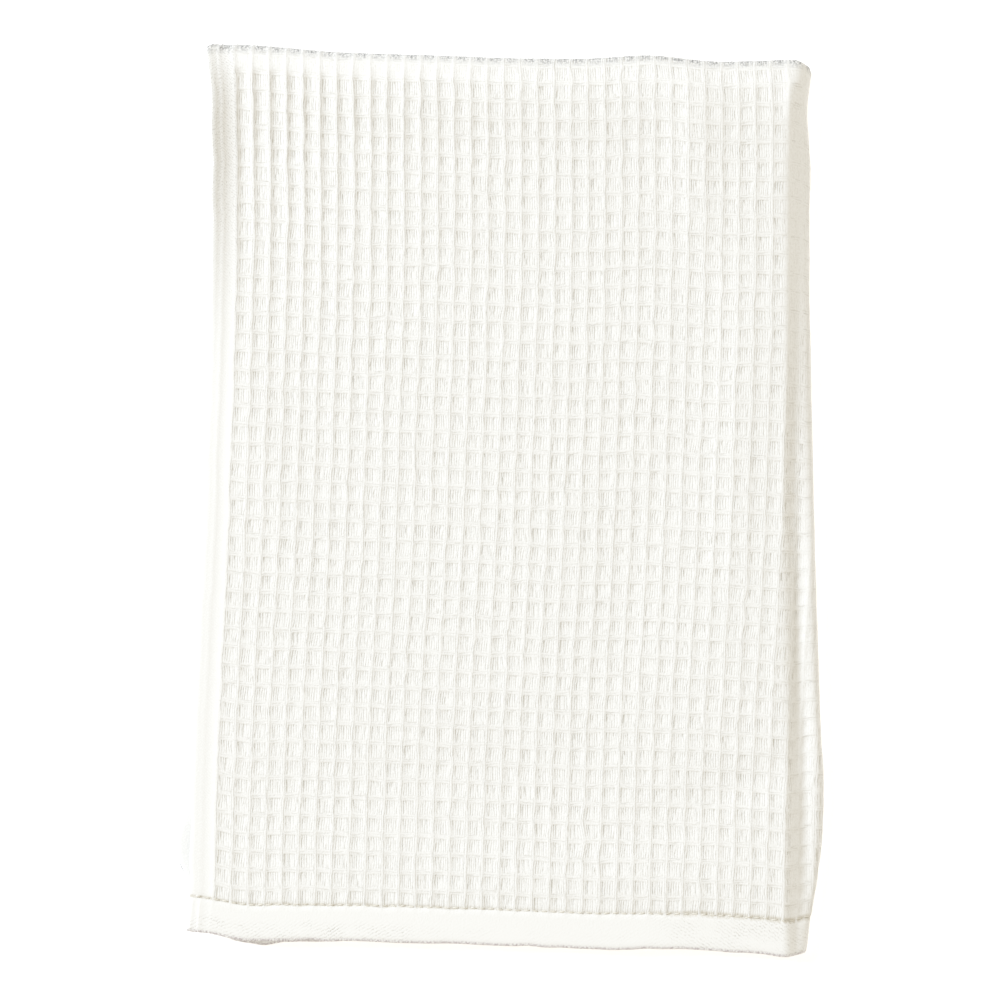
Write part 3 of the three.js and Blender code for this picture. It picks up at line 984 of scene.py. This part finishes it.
# %% Painted shade at the groove, the hem's edge and the crosswise fold
SLOT_START = 0.0002
SLOT_END = 0.0010
SLOT_WIDENING = 0.0009
SLOT_FOLD_SIDE = (0.18, 0.20)
SLOT_OPEN_SIDE = (0.09, 0.13)
HEM_EDGE = (0.0005, 0.0016)
FOLD_GAP = (0.0004, 0.0054)
FOLD_MIDDLE = FLAT_LENGTH / 2 * MM

from_slot = abs(from_end - (HEM + GROOVE_PLACE) * MM)
slot_fold_side = u.ramp(*SLOT_FOLD_SIDE)
slot_open_side = 1 - u.ramp(*SLOT_OPEN_SIDE)
slot_end = SLOT_END + SLOT_WIDENING * slot_fold_side
# Painted shade in the groove above each hem, in the first hollows between the ribs: widest towards the
# lengthwise fold, and stronger near the selvage and the fold.
slot_painted_shade = (1 - from_slot.ramp(SLOT_START, slot_end)) * aside.ramp(0.05, 0.12) * (1 + fuzz * 2.0)
slot_painted_shade = slot_painted_shade * (0.24 + 0.20 * slot_open_side + 0.28 * slot_fold_side)
# Painted shade along the hem's folded outer edge, broken by noise.
hem_edge_painted_shade = (1 - from_end.ramp(*HEM_EDGE)) * (0.45 + fuzz * 2.5)
# Painted shade in the gaps between the ribs where they turn over the crosswise fold, broken by noise.
between_ribs = 0.25 + 0.35 * aside.ramp(0.05, 0.30)
from_fold = abs(v - FOLD_MIDDLE)
fold_gap_painted_shade = (1 - from_fold.ramp(*FOLD_GAP)) * between_ribs * (1 + fuzz * 5.0)
print("nodes of the weave:", len(cotton.tree.nodes))

# %% Colour, painted shade and bump of the cotton
YARN_BUMP = 0.00012
GAP_PAINTED_SHADE = 0.75
COTTON = (0.930, 0.927, 0.915, 1)
# The four darker colours are painted shade: between the yarns, in the gaps at the crosswise fold, in the
# groove above each hem and along the hem's folded edge.
COTTON_PAINTED_SHADE = (0.660, 0.636, 0.576, 1)
FOLD_PAINTED_SHADE = (0.300, 0.300, 0.300, 1)
SLOT_PAINTED_SHADE = (0.600, 0.545, 0.430, 1)
HEM_EDGE_PAINTED_SHADE = (0.520, 0.460, 0.480, 1)

bump = cotton.node("ShaderNodeBump", None, Strength=1.0, Distance=YARN_BUMP, Height=yarn_height)
# The gaps between the yarns are mixed towards a darker, warmer colour: painted shade.
colour = cotton.mix((1 - yarn_height) * GAP_PAINTED_SHADE, COTTON, COTTON_PAINTED_SHADE)
# Painted shade in the groove, along the hem's folded edge and in the gaps at the crosswise fold.
colour = cotton.mix(slot_painted_shade, colour, SLOT_PAINTED_SHADE)
colour = cotton.mix(hem_edge_painted_shade, colour, HEM_EDGE_PAINTED_SHADE)
colour = cotton.mix(fold_gap_painted_shade, colour, FOLD_PAINTED_SHADE)
cotton.put(cotton.surface.inputs["Base Color"], colour)
cotton.put(cotton.surface.inputs["Normal"], bump.outputs[0])
cotton.surface.inputs["Roughness"].default_value = 0.95
cotton.surface.inputs["Specular IOR Level"].default_value = 0.2
cotton.surface.inputs["Sheen Weight"].default_value = 0.15
cotton.surface.inputs["Sheen Roughness"].default_value = 0.6
towel.data.materials.append(cotton.material)

# %% Hem thread finish
THREAD = (0.88, 0.86, 0.80, 1)
THREAD_SHADE = (0.72, 0.68, 0.59, 1)
TWIST_SCALE = (1800, 2600)

thread = Finish("hem_thread")
thread_places = thread.node("ShaderNodeTexCoord")
twist = flat_noise(thread, thread_places.outputs["Object"], TWIST_SCALE)
thread_colour = thread.mix(0.5 + twist * 2.0, THREAD, THREAD_SHADE)
thread.put(thread.surface.inputs["Base Color"], thread_colour)
thread.surface.inputs["Roughness"].default_value = 0.8
hem_stitches.data.materials.append(thread.material)

# %% Tie the towel to the solid
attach(towel, "root")
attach(hem_stitches, "root")
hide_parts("towel")

# %% [markdown]
# ## Floor, light and camera
#
# A white floor, a broad lamp from the upper left and an even pale sky give the soft light of the
# photograph. The floor glows a little, so that it stays white under the towel's edges. The camera looks
# straight down, and its frame is 395 mm wide at the height of the top layer.

# %% Floor
FLOOR_SIZE = 6.0
FLOOR_Z = -0.0002
FLOOR_COLOUR = (0.93, 0.93, 0.93, 1)
FLOOR_GLOW = (1, 0.99, 0.97, 1)
FLOOR_GLOW_STRENGTH = 0.4

floor_bm = bmesh.new()
bmesh.ops.create_grid(floor_bm, x_segments=1, y_segments=1, size=FLOOR_SIZE / 2)
bmesh.ops.translate(floor_bm, verts=floor_bm.verts, vec=(0, 0, FLOOR_Z))
floor = as_object(floor_bm, "floor")
paper = Finish("floor_paper")
paper.surface.inputs["Base Color"].default_value = FLOOR_COLOUR
paper.surface.inputs["Roughness"].default_value = 0.9
paper.surface.inputs["Emission Color"].default_value = FLOOR_GLOW
paper.surface.inputs["Emission Strength"].default_value = FLOOR_GLOW_STRENGTH
floor.data.materials.append(paper.material)

# %% Light
LAMP_PLACE = Vector((-5.6, 2.6, 3.7))
LAMP_SIZE = 2.4
LAMP_POWER = 388.0
LAMP_COLOUR = (0.76, 0.855, 1.0)
SKY_COLOUR = (1.0, 0.95, 0.84, 1)
SKY_STRENGTH = 0.761

lamp_data = bpy.data.lights.new("window", "AREA")
lamp_data.shape = "DISK"
lamp_data.size = LAMP_SIZE
lamp_data.energy = LAMP_POWER
lamp_data.color = LAMP_COLOUR
lamp = bpy.data.objects.new("window", lamp_data)
lamp.location = LAMP_PLACE
lamp.rotation_euler = (-LAMP_PLACE).to_track_quat("-Z", "Y").to_euler()
bpy.context.scene.collection.objects.link(lamp)

world = bpy.data.worlds.new("studio")
bpy.context.scene.world = world
world.use_nodes = True
sky = world.node_tree.nodes["Background"]
sky.inputs["Color"].default_value = SKY_COLOUR
sky.inputs["Strength"].default_value = SKY_STRENGTH
bpy.context.scene.view_settings.view_transform = "Standard"

# %% Camera
FRAME_WIDTH = 0.395
LENS = 85.0
SENSOR = 36.0

camera_data = bpy.data.cameras.new("camera")
camera_data.lens = LENS
camera_data.sensor_width = SENSOR
camera = bpy.data.objects.new("camera", camera_data)
camera.location = (0, 0, FRAME_WIDTH * LENS / SENSOR + OVER_Z * MM)
bpy.context.scene.collection.objects.link(camera)
bpy.context.scene.camera = camera
print(f"camera: {camera.location.z:.3f} m up")
